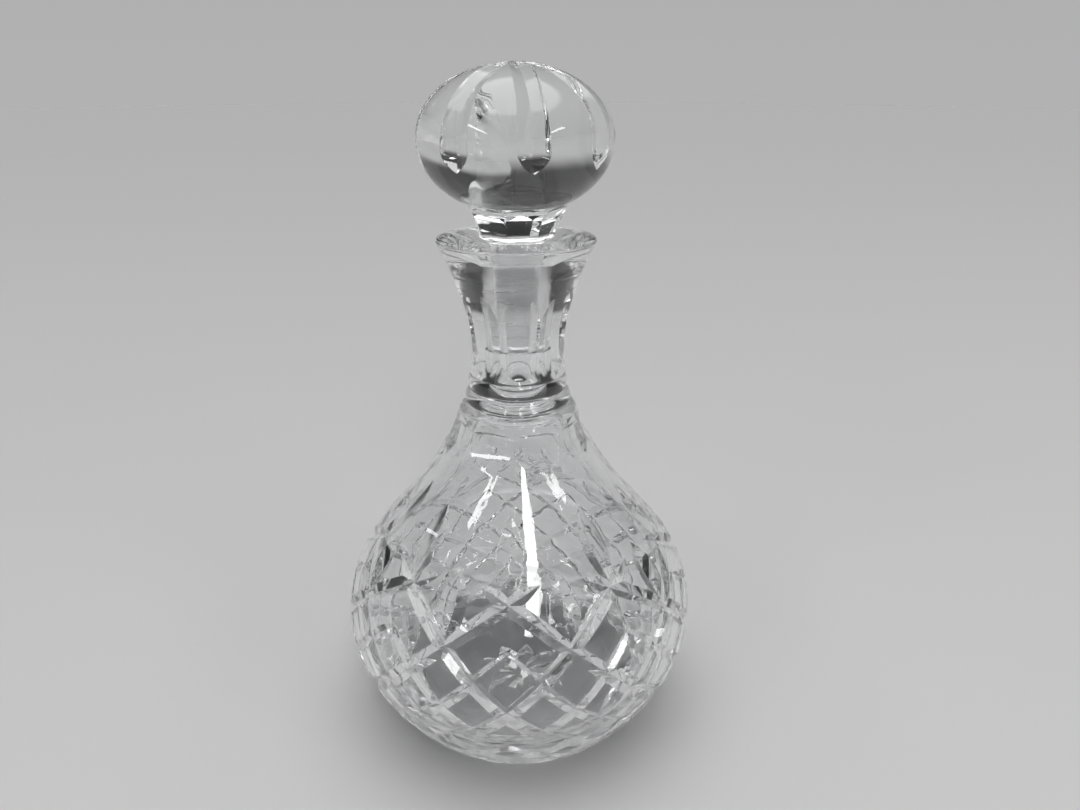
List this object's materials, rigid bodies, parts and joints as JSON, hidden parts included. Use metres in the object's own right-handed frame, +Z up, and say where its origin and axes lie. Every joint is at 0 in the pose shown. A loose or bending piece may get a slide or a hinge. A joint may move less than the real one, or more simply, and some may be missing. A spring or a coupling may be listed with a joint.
{
  "type": "crystal decanter",
  "caption": "Round-bodied cut crystal decanter with a fluted flaring neck and a ground ball stopper that lifts out.",
  "frame": {"origin": "middle of the foot, on the surface that the decanter stands on", "axes": "+Z up along the axis that the body and neck are turned on; -Y is the front that the picture sees"},
  "size_m": [0.141, 0.1409, 0.259],
  "materials": {
    "decanter_crystal": "clear crystal, cut and acid polished, with a finely ground bore in the neck",
    "stopper_crystal": "clear crystal, cut and polished, with a finely ground plug"
  },
  "bodies": {
    "decanter": {"decanter": "decanter_crystal"},
    "stopper": {"stopper": "stopper_crystal"}
  },
  "joints": [
    {"name": "stopper_lift", "type": "slide", "parent": "decanter", "child": "stopper", "axis": [0, 0, 1], "range_m": [0, 0.07]}
  ]
}
